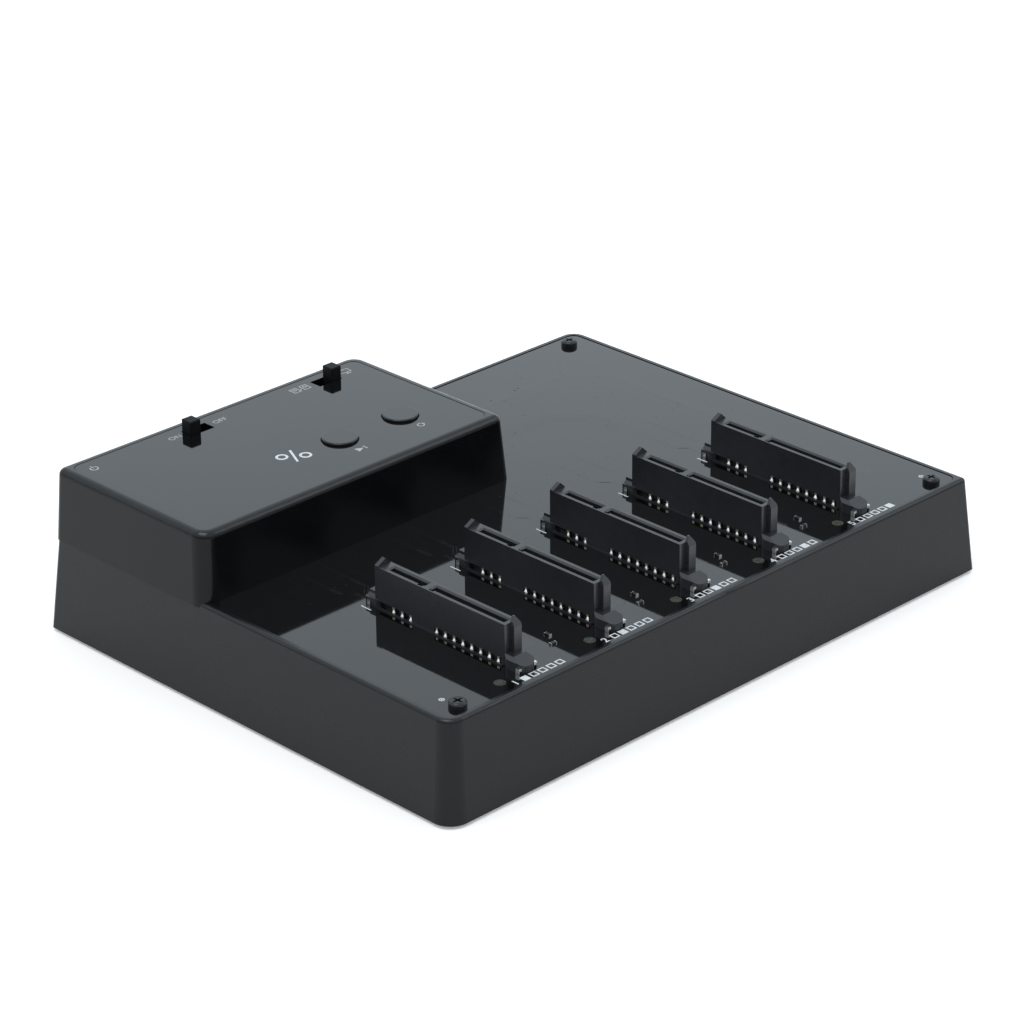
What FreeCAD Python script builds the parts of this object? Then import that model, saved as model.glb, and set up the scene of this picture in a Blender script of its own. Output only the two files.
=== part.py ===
import FreeCAD, Part
import os, math
from FreeCAD import Vector as V

# Hard drive docking station: low tray with an exposed board carrying five
# vertical drive sockets, and a control head on the back left corner.
# X runs along the front, Y to the back, Z up.  Origin: bottom centre.

# ------------------------------------------------------------- dimensions
FOOT_H = 0.8            # feet stand proud of the tray's bottom edge
BASE_W = 161.60         # tray length at the bottom edge (X)
BASE_D = 124.70         # tray depth at the bottom edge (Y)
BASE_H = 22.29          # tray height, bottom edge to rim
DRAFT_X = 1.95          # inset of the rim on each end
DRAFT_Y = 1.86          # inset of the rim at the front and back
# vertical corner radii, in the order front right, back right, back left, front left
BASE_R = (1.0, 4.5, 1.2, 4.5)       # at the bottom edge
RIM_R = (1.1, 3.7, 1.3, 3.7)        # at the rim
RIM_ROUND = 0.9         # rounding of the rim's outer edge
RIM_W = 1.5             # width of the rim round the board
WALL = 2.2              # tray wall
BOARD_T = 1.6           # main board thickness
BOARD_DROP = 0.15       # board surface below the rim
LEDGE = 1.5             # ledge under the board's edge
BOTTOM_T = 2.0          # bottom cover thickness

HEAD_X0, HEAD_X1 = -78.03, 7.70     # control head, top face
HEAD_Y0, HEAD_Y1 = 12.46, 60.40
HEAD_H = 15.22          # control head height above the rim
HEAD_FLARE = (1.15, 1.15, 1.15, 0.65)   # left, right, front, back, over that height
HEAD_R = (1.7, 3.6, 1.7, 3.6)
HEAD_ROUND = 1.6
HEAD_WALL = 1.8
LABEL_T = 0.3
LABEL_INSET = 2.1
LABEL_DROP = 0.08       # overlay below the frame round it

PITCH = 25.4            # socket to socket
XC0 = -52.5             # first socket's centre line
S1_Y = -17.15           # first signal contact
P1_Y = -31.12           # first power contact
CONTACT_PITCH = 1.27

SWITCH_TRAVEL = 3.5
BUTTON_TRAVEL = 0.5
BUTTON_D = 8.0
BUTTON_HOLE = 8.4
BUTTON_PROUD = 0.55
KNOB_X, KNOB_Y, KNOB_PROUD = 2.9, 3.1, 3.0
SLOT_X, SLOT_Y = 6.7, 3.5

Z_EDGE = FOOT_H
Z_RIM = FOOT_H + BASE_H
Z_BOARD = Z_RIM - BOARD_DROP
Z_BOARD_B = Z_BOARD - BOARD_T
Z_TOP = Z_RIM + HEAD_H              # top of the head
Z_SEAT = Z_RIM - 1.15               # notch in the rim that takes the head's wall
Z_HEAD = Z_TOP - LABEL_T            # bottom of the overlay's recess
Z_HEAD_IN = Z_TOP - LABEL_T - HEAD_WALL
CB_T = 1.6
CB_TOP = 30.6                       # control board, upper surface
CB_BOT = CB_TOP - CB_T

BOARD_SCREWS = [(-72.4, -56.2), (71.8, -56.2), (71.8, 55.0), (-72.4, 55.0)]
COVER_SCREWS = [(-72.8, 17.4), (2.6, 17.4), (2.6, 54.2), (-60.5, 52.6)]
CB_SCREWS = [(-71.3, 25.0), (-39.5, 23.6), (-3.2, 41.0), (-71.3, 45.0)]
FEET = [(-62.0, -46.0), (62.0, -46.0), (62.0, 46.0), (-62.0, 46.0)]
BUTTONS = {"start": (-25.9, 28.3), "mode": (-8.3, 28.1)}
SLIDES = {"power": (-44.1, 54.1, -1.0), "mode": (-6.5, 54.2, 1.0)}  # slot centre, knob side
DISPLAY = (-54.5, 29.0, 15.0, 11.0)
LED_POWER = (-72.6, 54.3)
HEADER = (-46.0, 38.0)
USB_X, JACK_X = -22.0, -46.0


# ------------------------------------------------------------- helpers
def rrect(x0, y0, x1, y1, r, z):
    """Rounded rectangle; r is one radius, or one for each corner from the front right one."""
    rs = r if isinstance(r, (tuple, list)) else (r, r, r, r)
    pts = []
    for r, (ex, ey, sx, sy, a) in zip(rs, ((x1, y0, -1, 1, -90), (x1, y1, -1, -1, 0),
                                           (x0, y1, 1, -1, 90), (x0, y0, 1, 1, 180))):
        cx, cy = ex + sx * r, ey + sy * r
        p = [V(cx + r * math.cos(math.radians(a + d)), cy + r * math.sin(math.radians(a + d)), z)
             for d in (0, 45, 90)]
        pts.append(p)
    edges = []
    for i, p in enumerate(pts):
        edges.append(Part.Arc(*p).toShape())
        edges.append(Part.makeLine(p[2], pts[(i + 1) % 4][0]))
    return Part.Wire(edges)


def loft(a, b):
    return Part.makeLoft([a, b], True, True)


def plate(x0, y0, x1, y1, r, z0, z1):
    return Part.Face(rrect(x0, y0, x1, y1, r, z0)).extrude(V(0, 0, z1 - z0))


def box(x0, x1, y0, y1, z0, z1):
    return Part.makeBox(x1 - x0, y1 - y0, z1 - z0, V(x0, y0, z0))


def cyl(x, y, r, z0, z1):
    return Part.makeCylinder(r, z1 - z0, V(x, y, z0))


def prism_y(pts, y0, y1):
    """Closed X-Z outline pushed along Y."""
    w = Part.makePolygon([V(x, y0, z) for x, z in pts] + [V(pts[0][0], y0, pts[0][1])])
    return Part.Face(w).extrude(V(0, y1 - y0, 0))


def prism_x(pts, x0, x1):
    """Closed Y-Z outline pushed along X."""
    w = Part.makePolygon([V(x0, y, z) for y, z in pts] + [V(x0, pts[0][0], pts[0][1])])
    return Part.Face(w).extrude(V(x1 - x0, 0, 0))


def fuse(shapes):
    s = shapes[0]
    if len(shapes) > 1:
        s = s.multiFuse(shapes[1:])
    return s.removeSplitter()


def cut(shape, tools):
    if not tools:
        return shape
    return shape.cut(Part.makeCompound(tools)) if len(tools) == 1 else shape.cut(tools)


def edges_at(shape, test):
    return [e for e in shape.Edges if test(e)]


def save(name, shape):
    solids = shape.Solids
    bad = [s for s in solids if not s.isValid() or s.Volume <= 0]
    print("%-24s solids %3d  vol %10.3f %s" % (name, len(solids), shape.Volume, "BAD" if bad or not solids else ""))
    out = solids[0] if len(solids) == 1 else Part.makeCompound(solids)
    out.exportStep("parts/%s.step" % name)


os.makedirs("parts", exist_ok=True)


# ------------------------------------------------------------- tray
def half(z):
    t = (z - Z_EDGE) / BASE_H
    return BASE_W / 2 - DRAFT_X * t, BASE_D / 2 - DRAFT_Y * t, [b + (a - b) * t for a, b in zip(RIM_R, BASE_R)]


def base_section(z, inset=0.0, r=None):
    hx, hy, rr = half(z)
    return rrect(-hx + inset, -hy + inset, hx - inset, hy - inset, ([q - inset for q in rr] if r is None else r), z)


outer = loft(base_section(Z_EDGE), base_section(Z_RIM))
rim_edges = edges_at(outer, lambda e: e.BoundBox.ZMin > Z_RIM - 0.01)
outer = outer.makeFillet(RIM_ROUND, rim_edges)
Z_LEDGE = Z_BOARD_B - 2.0
cav_low = loft(base_section(Z_EDGE - 0.0, WALL, 2.3), base_section(Z_LEDGE, WALL, 2.0))
hx_r, hy_r, _ = half(Z_RIM)
PX, PY = hx_r - RIM_W, hy_r - RIM_W
ledge_hole = plate(-PX + LEDGE, -PY + LEDGE, PX - LEDGE, PY - LEDGE, 1.5, Z_LEDGE - 0.5, Z_BOARD_B + 0.5)
pocket = plate(-PX, -PY, PX, PY, 2.2, Z_BOARD_B, Z_RIM + 1.0)
base = cut(outer, [cav_low, ledge_hole, pocket])

columns = []
for x, y in BOARD_SCREWS:
    c = cyl(x, y, 3.4, Z_EDGE + BOTTOM_T, Z_BOARD_B)
    sx, sy = (1 if x > 0 else -1), (1 if y > 0 else -1)
    web = box(min(x, x + sx * 9.0), max(x, x + sx * 9.0), y - 0.8, y + 0.8, Z_EDGE + BOTTOM_T, Z_BOARD_B)
    web2 = box(x - 0.8, x + 0.8, min(y, y + sy * 9.0), max(y, y + sy * 9.0), Z_EDGE + BOTTOM_T, Z_BOARD_B)
    columns += [c, web, web2]
inner_space = loft(base_section(Z_EDGE, 1.0, 3.0), base_section(Z_RIM, 1.0, 2.5))
col = fuse(columns).common(inner_space)
base = base.fuse(col).removeSplitter()
for x, y in BOARD_SCREWS:
    base = base.cut(cyl(x, y, 1.05, Z_BOARD_B - 7.0, Z_BOARD_B + 0.1))
    base = base.cut(cyl(x, y, 1.3, Z_EDGE, Z_EDGE + BOTTOM_T + 7.6))
# port cut-outs in the back wall
USB_W, USB_H = 12.1, 11.0
JACK_W, JACK_H = 9.0, 11.0
Z_PORT = Z_BOARD_B
base = cut(base, [box(USB_X - USB_W / 2 - 0.2, USB_X + USB_W / 2 + 0.2, 50, 70, Z_PORT - USB_H - 0.2, Z_PORT),
                  box(JACK_X - JACK_W / 2 - 0.2, JACK_X + JACK_W / 2 + 0.2, 50, 70, Z_PORT - JACK_H - 0.2, Z_PORT)])


def head_section(z, inset=0.0, r=None):
    t = (Z_TOP - z) / HEAD_H
    gl, gr, gf, gb = [f * t - inset for f in HEAD_FLARE]
    rr = [q + 0.3 * t - inset for q in HEAD_R] if r is None else r
    return rrect(HEAD_X0 - gl, HEAD_Y0 - gf, HEAD_X1 + gr, HEAD_Y1 + gb, rr, z)


# the rim is lower under the head's back and left walls
base = base.cut(loft(head_section(Z_SEAT, -0.08), head_section(Z_RIM + 1.0, -0.08)))
save("base_shell", base)

# ------------------------------------------------------------- bottom
hx_b, hy_b, _ = half(Z_EDGE)
bx, by = hx_b - WALL - 0.25, hy_b - WALL - 0.25
bottom = plate(-bx, -by, bx, by, 2.2, Z_EDGE, Z_EDGE + BOTTOM_T)
tools = []
for x, y in BOARD_SCREWS:
    tools += [cyl(x, y, 1.4, Z_EDGE - 1, Z_EDGE + BOTTOM_T + 1), cyl(x, y, 2.6, Z_EDGE - 1, Z_EDGE + 1.3)]
for x, y in FEET:
    tools.append(cyl(x, y, 6.1, Z_EDGE - 1, Z_EDGE + 0.9))
# vent slots under the electronics
for i in range(9):
    x = -28.0 + 7.0 * i
    tools.append(plate(x - 0.9, -14.0, x + 0.9, 14.0, 0.85, Z_EDGE - 1, Z_EDGE + BOTTOM_T + 1))
bottom = cut(bottom, tools)
save("bottom_cover", bottom)

feet = []
for x, y in FEET:
    f = cyl(x, y, 6.0, 0.0, FOOT_H + 0.9)
    f = f.makeFillet(0.4, edges_at(f, lambda e: e.BoundBox.ZMax < 0.01))
    feet.append(f)
save("rubber_feet", Part.makeCompound(feet))


def cross(x, y, z_top, depth, span, width):
    a = loft(rrect(x - span / 2, y - width / 2, x + span / 2, y + width / 2, width * 0.2, z_top + 0.05),
             rrect(x - span / 4, y - width / 3, x + span / 4, y + width / 3, width * 0.15, z_top - depth))
    b = loft(rrect(x - width / 2, y - span / 2, x + width / 2, y + span / 2, width * 0.2, z_top + 0.05),
             rrect(x - width / 3, y - span / 4, x + width / 3, y + span / 4, width * 0.15, z_top - depth))
    return [a, b]


def pan_screw(x, y, z_seat, head_r, head_h, shank_r, length, up=True):
    """Head above z_seat, shank below; flipped for a screw driven from below."""
    h = cyl(x, y, head_r, z_seat, z_seat + head_h)
    h = h.makeFillet(head_h * 0.42, edges_at(h, lambda e: e.BoundBox.ZMin > z_seat + head_h - 0.01))
    h = cut(h, cross(x, y, z_seat + head_h, head_h * 0.62, head_r * 1.25, head_r * 0.30))
    s = fuse([h, cyl(x, y, shank_r, z_seat - length, z_seat + 0.01)])
    s = s.makeChamfer(shank_r * 0.4, edges_at(s, lambda e: e.BoundBox.ZMax < z_seat - length + 0.01))
    if not up:
        s.rotate(V(x, y, z_seat), V(1, 0, 0), 180)
    return s


save("bottom_screws", Part.makeCompound(
    [pan_screw(x, y, Z_EDGE + 1.3, 2.4, 1.15, 1.25, 8.0, up=False) for x, y in BOARD_SCREWS]))
save("board_screws", Part.makeCompound(
    [pan_screw(x, y, Z_BOARD, 1.9, 1.35, 1.0, 8.0) for x, y in BOARD_SCREWS]))

# ------------------------------------------------------------- sockets
XCS = [XC0 + PITCH * i for i in range(5)]
SIG = [S1_Y - CONTACT_PITCH * k for k in range(7)]
POW = [P1_Y - CONTACT_PITCH * k for k in range(15)]
NEAR = [SIG[k] for k in (1, 3, 5)] + [POW[k] for k in range(0, 15, 2)]
FAR = [SIG[k] for k in (0, 2, 4, 6)] + [POW[k] for k in range(1, 15, 2)]
BODY_X = 1.85
BODY_H = 9.15
SLOT_HX = 0.72
SIG_SLOT = (-26.75, -16.32)
POW_SLOT = (-49.65, -28.85)
RECESS_Z = 1.55
TAIL_X0, TAIL_X1 = 1.38, 1.62
HOLD_Y = (-55.15, -11.9)


def socket_housing(xc):
    z = Z_BOARD
    body = box(xc - BODY_X, xc + BODY_X, -50.95, -13.2, z, z + BODY_H)
    near_corner = edges_at(body, lambda e: abs(e.BoundBox.XMax - (xc - BODY_X)) < 0.01
                           and abs(e.BoundBox.YMax + 50.95) < 0.01 and e.BoundBox.ZLength > 5)
    body = body.makeFillet(0.35, near_corner)
    # rear guide post: a thin gable across the end of the housing
    post_r = prism_y([(xc - BODY_X, z + 8.0), (xc - BODY_X, z + 9.35), (xc + 0.35, z + 10.5),
                      (xc + BODY_X, z + 9.1), (xc + BODY_X, z + 8.0)], -14.2, -13.2)
    # front guide post at the far side, its tip sloped on three sides
    post_f = box(xc - 0.25, xc + BODY_X, -52.05, -50.9, z, z + 10.5)
    post_f = post_f.cut(prism_x([(-51.3, z + 10.51), (-52.1, z + 10.51), (-52.1, z + 8.2)], xc - 3, xc + 3))
    post_f = post_f.cut(prism_y([(xc + 0.7, z + 10.51), (xc + 1.9, z + 10.51), (xc + 1.9, z + 8.8)], -53, -50))
    post_f = post_f.cut(prism_y([(xc - 0.3, z + 10.51), (xc + 0.3, z + 10.51), (xc - 0.3, z + 9.2)], -53, -50))
    # rear flange, stepped; front flange rounded and sloping down
    fl_r = plate(xc - 2.35, -14.3, xc + 2.35, -10.45, 0.6, z, z + 1.7)
    fl_r2 = prism_y([(xc - 2.0, z + 1.6), (xc - 1.25, z + 2.3), (xc - 1.15, z + 2.9), (xc + 1.15, z + 2.9),
                     (xc + 1.25, z + 2.3), (xc + 2.0, z + 1.6)], -14.3, -10.75)
    fl_f = plate(xc - 2.35, -56.2, xc + 2.35, -50.3, 2.0, z, z + 2.85)
    fl_f = fl_f.cut(prism_x([(-53.2, z + 2.86), (-56.6, z + 2.86), (-56.6, z + 1.3)], xc - 3, xc + 3))
    for s in (-1, 1):
        fl_f = fl_f.cut(prism_y([(xc + s * 1.7, z + 2.9), (xc + s * 2.5, z + 2.9), (xc + s * 2.5, z + 1.9)], -57, -50))
    lip = box(xc - 2.35, xc + 2.35, -50.6, -14.1, z, z + 0.3)
    h = fuse([body, post_r, post_f, fl_r, fl_r2, fl_f, lip])
    tools = []
    # tail windows along both feet
    for sx, ya, yb in ((-1, -24.25, -14.6), (-1, -49.9, -30.65), (1, -25.25, -14.65), (1, -48.4, -31.9)):
        x0, x1 = sorted((xc + sx * 0.95, xc + sx * BODY_X))
        tools.append(box(x0, x1, ya, yb, z - 0.1, z + RECESS_Z))
    # slots with chamfered mouths
    c = 0.36
    for ya, yb in (SIG_SLOT, POW_SLOT):
        tools.append(box(xc - SLOT_HX, xc + SLOT_HX, ya, yb, z + 2.6, z + BODY_H + 1))
        tools.append(loft(rrect(xc - SLOT_HX, ya, xc + SLOT_HX, yb, 0.05, z + BODY_H - c),
                          rrect(xc - SLOT_HX - c - 0.01, ya - c - 0.01, xc + SLOT_HX + c + 0.01, yb + c + 0.01, 0.15, z + BODY_H + 0.01)))
    # key legs, open to the near side
    tools.append(box(xc - 1.55, xc - SLOT_HX + 0.01, SIG_SLOT[0], SIG_SLOT[0] + 1.3, z + 3.0, z + BODY_H + 1))
    tools.append(box(xc - 1.55, xc - SLOT_HX + 0.01, POW_SLOT[1] - 1.3, POW_SLOT[1], z + 3.0, z + BODY_H + 1))
    # contact grooves in the near wall, and crossings under the slot
    for y in SIG + POW:
        tools.append(box(xc - 1.28, xc - SLOT_HX + 0.01, y - 0.42, y + 0.42, z + RECESS_Z - 0.3, z + 8.1))
    for y in FAR:
        tools.append(box(xc - 1.28, xc + 1.3, y - 0.42, y + 0.42, z + RECESS_Z - 0.01, z + 2.15))
        tools.append(box(xc + 0.9, xc + 1.72, y - 0.42, y + 0.42, z + RECESS_Z - 0.3, z + 2.15))
    for y in NEAR:
        tools.append(box(xc - 1.72, xc - 0.86, y - 0.42, y + 0.42, z + RECESS_Z - 0.3, z + RECESS_Z + 0.12))
    # slots for the metal hold-downs
    for y in HOLD_Y:
        tools.append(box(xc - 3, xc + 3, y - 0.5, y + 0.5, z + 0.5, z + 1.2))
    h = cut(h, tools)
    return h.removeSplitter()


def contact(xc, y, near):
    z = Z_BOARD
    w = 0.35
    blade = prism_y([(xc - 1.22, z + 1.3), (xc - 1.22, z + 7.9), (xc - 1.0, z + 7.9), (xc - 0.55, z + 6.7),
                     (xc - 0.55, z + 6.3), (xc - 0.98, z + 4.9), (xc - 0.98, z + 1.3)], y - w, y + w)
    if near:
        arm = box(xc - TAIL_X1, xc - 0.98, y - w, y + w, z + 1.3, z + 1.55)
        leg = box(xc - TAIL_X1, xc - TAIL_X0, y - w, y + w, z - 2.4, z + 1.55)
    else:
        arm = box(xc - 1.22, xc + TAIL_X1, y - w, y + w, z + 1.75, z + 2.0)
        leg = box(xc + TAIL_X0, xc + TAIL_X1, y - w, y + w, z - 2.4, z + 2.0)
    return fuse([blade, arm, leg])


def hold_down(xc, y):
    z = Z_BOARD
    bar = box(xc - 2.62, xc + 2.62, y - 0.45, y + 0.45, z + 0.55, z + 1.15)
    legs = [box(*sorted((xc + s * 2.38, xc + s * 2.62)), y - 0.45, y + 0.45, z - 2.2, z + 1.15) for s in (-1, 1)]
    return fuse([bar] + legs)


holds = []
for i, xc in enumerate(XCS):
    save("sata_housing_%d" % (i + 1), socket_housing(xc))
    save("sata_contacts_%d" % (i + 1), Part.makeCompound(
        [contact(xc, y, True) for y in NEAR] + [contact(xc, y, False) for y in FAR]))
    holds += [hold_down(xc, y) for y in HOLD_Y]
save("sata_hold_downs", Part.makeCompound(holds))

# ------------------------------------------------------------- main board
board = plate(-PX + 0.12, -PY + 0.12, PX - 0.12, PY - 0.12, 2.1, Z_BOARD_B, Z_BOARD)
tools = []
za, zb = Z_BOARD_B - 0.5, Z_BOARD + 0.5
for x, y in BOARD_SCREWS:
    tools.append(cyl(x, y, 1.2, za, zb))
for x, y in COVER_SCREWS:
    tools.append(cyl(x, y, 1.4, za, zb))
LED_DX, LED_Y = -7.4, -55.15
for xc in XCS:
    tools.append(cyl(xc + LED_DX, LED_Y, 1.33, za, zb))
    for y in NEAR:
        tools.append(box(xc - 1.75, xc - 1.25, y - 0.45, y + 0.45, za, zb))
    for y in FAR:
        tools.append(box(xc + 1.25, xc + 1.75, y - 0.45, y + 0.45, za, zb))
    for y in HOLD_Y:
        for s in (-1, 1):
            tools.append(box(*sorted((xc + s * 2.28, xc + s * 2.72)), y - 0.55, y + 0.55, za, zb))
HP = [(HEADER[0] + 2.54 * (i - 3.5), HEADER[1] + 2.54 * (j - 0.5)) for i in range(8) for j in range(2)]
for x, y in HP:
    tools.append(box(x - 0.4, x + 0.4, y - 0.4, y + 0.4, za, zb))
board = cut(board, tools)
save("main_board", board)

for i, xc in enumerate(XCS):
    led = cyl(xc + LED_DX, LED_Y, 1.27, Z_BOARD_B - 0.9, Z_BOARD + 0.04)
    base_led = box(xc + LED_DX - 1.75, xc + LED_DX + 1.75, LED_Y - 1.4, LED_Y + 1.4, Z_BOARD_B - 1.6, Z_BOARD_B)
    save("bay_led_%d" % (i + 1), fuse([led, base_led]))

parts_ = []
for i, xc in enumerate(XCS[:4]):
    for dx, y, a in ((11.6, -51.0, 0), (13.6, -47.6, 1)):
        w, d = (1.6, 0.8) if a == 0 else (0.8, 1.6)
        parts_.append(box(xc + dx - w / 2, xc + dx + w / 2, y - d / 2, y + d / 2, Z_BOARD, Z_BOARD + 0.45))
save("bay_resistors", Part.makeCompound(parts_))


# ------------------------------------------------------------- control head
head = loft(head_section(Z_SEAT), head_section(Z_TOP))
head = head.makeFillet(HEAD_ROUND, edges_at(head, lambda e: e.BoundBox.ZMin > Z_TOP - 0.01))
# the notched rim carries the back and left walls, the board the other two
head = head.cut(plate(-PX, -PY, PX, PY, 2.2, Z_SEAT - 1.0, Z_BOARD))
hollow = loft(head_section(Z_SEAT - 0.5, HEAD_WALL + 0.2, 1.8), head_section(Z_HEAD_IN, HEAD_WALL + 0.2, 1.6))
head = head.cut(hollow)
# bosses
bosses = []
for x, y in COVER_SCREWS:
    bosses.append(cyl(x, y, 2.7, Z_BOARD, Z_HEAD_IN + 0.2))
for x, y in CB_SCREWS:
    bosses.append(cyl(x, y, 2.4, CB_TOP, Z_HEAD_IN + 0.2))
head_space = loft(head_section(Z_BOARD - 0.0, 1.0, 2.0), head_section(Z_TOP, 1.0, 2.0))
head = head.fuse(fuse(bosses).common(head_space)).removeSplitter()
tools = [plate(HEAD_X0 + LABEL_INSET, HEAD_Y0 + LABEL_INSET, HEAD_X1 - LABEL_INSET, HEAD_Y1 - LABEL_INSET, 2.2, Z_HEAD, Z_TOP + 1)]
for x, y in COVER_SCREWS:
    tools.append(cyl(x, y, 1.3, Z_BOARD - 0.5, Z_BOARD + 7.4))
for x, y in CB_SCREWS:
    tools.append(cyl(x, y, 0.95, CB_TOP - 0.5, CB_TOP + 4.6))
for x, y in BUTTONS.values():
    tools.append(cyl(x, y, BUTTON_HOLE / 2, Z_HEAD_IN - 0.1, Z_TOP + 1))
for x, y, s in SLIDES.values():
    tools.append(box(x - SLOT_X / 2, x + SLOT_X / 2, y - SLOT_Y / 2, y + SLOT_Y / 2, Z_HEAD_IN - 0.1, Z_TOP + 1))
dx, dy, dw, dd = DISPLAY
tools.append(box(dx - dw / 2 - 0.2, dx + dw / 2 + 0.2, dy - dd / 2 - 0.2, dy + dd / 2 + 0.2, Z_HEAD_IN - 0.1, Z_TOP))
tools.append(cyl(LED_POWER[0], LED_POWER[1], 1.6, Z_HEAD_IN - 0.1, Z_TOP))
head = cut(head, tools)
save("control_cover", head)

g = 0.12
label = plate(HEAD_X0 + LABEL_INSET + g, HEAD_Y0 + LABEL_INSET + g, HEAD_X1 - LABEL_INSET - g, HEAD_Y1 - LABEL_INSET - g, 2.1, Z_HEAD, Z_TOP - LABEL_DROP)
tools = []
for x, y in BUTTONS.values():
    tools.append(cyl(x, y, BUTTON_HOLE / 2, Z_HEAD - 0.1, Z_TOP + 1))
for x, y, s in SLIDES.values():
    tools.append(box(x - SLOT_X / 2, x + SLOT_X / 2, y - SLOT_Y / 2, y + SLOT_Y / 2, Z_HEAD - 0.1, Z_TOP + 1))
save("cover_label", cut(label, tools))

save("cover_screws", Part.makeCompound(
    [pan_screw(x, y, Z_BOARD_B, 2.3, 1.4, 1.25, 8.0, up=False) for x, y in COVER_SCREWS]))

cb = plate(-75.2, 20.8, -0.4, 57.4, 1.0, CB_BOT, CB_TOP)
tools = [cyl(x, y, 1.15, CB_BOT - 1, CB_TOP + 1) for x, y in CB_SCREWS]
tools.append(cyl(COVER_SCREWS[3][0], COVER_SCREWS[3][1], 3.2, CB_BOT - 1, CB_TOP + 1))
save("control_board", cut(cb, tools))
save("control_board_screws", Part.makeCompound(
    [pan_screw(x, y, CB_BOT, 1.9, 1.2, 0.9, 5.6, up=False) for x, y in CB_SCREWS]))

# slide switches
for name, (x, y, s) in SLIDES.items():
    body = plate(x - 6.3, y - 2.95, x + 6.3, y + 2.95, 0.4, CB_TOP, CB_TOP + 5.2)
    body = body.cut(box(x - 4.95, x + 4.95, y - 2.3, y + 2.3, CB_TOP + 2.0, CB_TOP + 4.6))
    body = body.cut(box(x - SLOT_X / 2, x + SLOT_X / 2, y - SLOT_Y / 2, y + SLOT_Y / 2, CB_TOP + 4.5, CB_TOP + 6))
    save(name + "_switch_body", body)
    kx = x + s * SWITCH_TRAVEL / 2
    slider = box(kx - 3.0, kx + 3.0, y - 2.1, y + 2.1, CB_TOP + 2.2, CB_TOP + 4.3)
    stalk = box(kx - KNOB_X / 2, kx + KNOB_X / 2, y - KNOB_Y / 2, y + KNOB_Y / 2, CB_TOP + 4.2, Z_TOP + KNOB_PROUD)
    top = Z_TOP + KNOB_PROUD
    stalk = stalk.makeFillet(0.25, edges_at(stalk, lambda e: e.BoundBox.ZMin > top - 0.01
                             or (e.BoundBox.ZLength > 5)))
    save(name + "_switch_knob", fuse([slider, stalk]))

# push buttons
for name, (x, y) in BUTTONS.items():
    top = Z_TOP + BUTTON_PROUD
    zf1 = Z_HEAD_IN - 0.05
    zf0 = zf1 - 0.8
    cap = cyl(x, y, BUTTON_D / 2, zf0, top)
    cap = cap.makeFillet(0.3, edges_at(cap, lambda e: e.BoundBox.ZMin > top - 0.01))
    save(name + "_button_cap", fuse([cap, cyl(x, y, 5.0, zf0, zf1)]))
    zb_ = CB_TOP + 3.5
    tact = plate(x - 3.0, y - 3.0, x + 3.0, y + 3.0, 0.4, CB_TOP, zb_)
    tact = cut(tact, [cyl(x, y, 2.2, zb_ - 1.1, zb_ - 0.25), cyl(x, y, 1.85, zb_ - 0.3, zb_ + 1)])
    save(name + "_tact_body", tact)
    save(name + "_tact_plunger", cyl(x, y, 1.65, zb_ - 0.35, zf0))
    # snap dome: thin spherical cap
    hc, a = 0.74, 2.0
    R = (a * a + hc * hc) / (2 * hc)
    zc = zb_ - 1.1 + hc - R
    ball = Part.makeSphere(R, V(x, y, zc)).cut(Part.makeSphere(R - 0.1, V(x, y, zc)))
    save(name + "_tact_dome", ball.common(cyl(x, y, 2.1, zb_ - 1.1, zb_)))

led = fuse([box(LED_POWER[0] - 1.5, LED_POWER[0] + 1.5, LED_POWER[1] - 1.4, LED_POWER[1] + 1.4, CB_TOP, CB_TOP + 1.2),
            cyl(LED_POWER[0], LED_POWER[1], 1.4, CB_TOP + 1.1, Z_HEAD - 0.2)])
save("power_led", led)
save("progress_display", plate(dx - dw / 2, dy - dd / 2, dx + dw / 2, dy + dd / 2, 0.3, CB_TOP, Z_HEAD - 0.1))

# board to board connection
hx0, hx1 = HEADER[0] - 10.2, HEADER[0] + 10.2
zsplit = Z_BOARD + 2.54
hd = box(hx0, hx1, HEADER[1] - 2.5, HEADER[1] + 2.5, Z_BOARD, zsplit)
save("board_header", cut(hd, [box(x - 0.32, x + 0.32, y - 0.32, y + 0.32, Z_BOARD - 1, zsplit + 1) for x, y in HP]))
sk = box(hx0, hx1, HEADER[1] - 2.5, HEADER[1] + 2.5, zsplit, CB_BOT)
save("board_socket", cut(sk, [box(x - 0.38, x + 0.38, y - 0.38, y + 0.38, zsplit - 1, CB_BOT - 0.3) for x, y in HP]))
save("board_header_pins", Part.makeCompound(
    [box(x - 0.31, x + 0.31, y - 0.31, y + 0.31, Z_BOARD_B - 0.9, CB_BOT - 0.5) for x, y in HP]))

# ------------------------------------------------------------- ports
USB_Y1 = 60.95
z1 = Z_BOARD_B - 0.05
z0 = z1 - USB_H
shell_ = box(USB_X - USB_W / 2, USB_X + USB_W / 2, USB_Y1 - 16.0, USB_Y1, z0, z1)
shell_ = shell_.cut(box(USB_X - USB_W / 2 + 0.35, USB_X + USB_W / 2 - 0.35, USB_Y1 - 15.65, USB_Y1 + 1, z0 + 0.35, z1 - 0.35))
save("usb_port_shell", shell_)
zc = (z0 + z1) / 2
ins = box(USB_X - USB_W / 2 + 0.4, USB_X + USB_W / 2 - 0.4, USB_Y1 - 15.6, USB_Y1 - 0.4, z0 + 0.4, z1 - 0.4)
mouth = prism_y([(USB_X - 4.23, zc - 3.9), (USB_X + 4.23, zc - 3.9), (USB_X + 4.23, zc + 2.2),
                 (USB_X + 2.6, zc + 3.9), (USB_X - 2.6, zc + 3.9), (USB_X - 4.23, zc + 2.2)], USB_Y1 - 9.6, USB_Y1 + 1)
tongue = box(USB_X - 2.85, USB_X + 2.85, USB_Y1 - 10.5, USB_Y1 - 1.2, zc - 1.6, zc + 1.6)
ins = fuse([ins.cut(mouth), tongue])
pads = []
contacts = []
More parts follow.
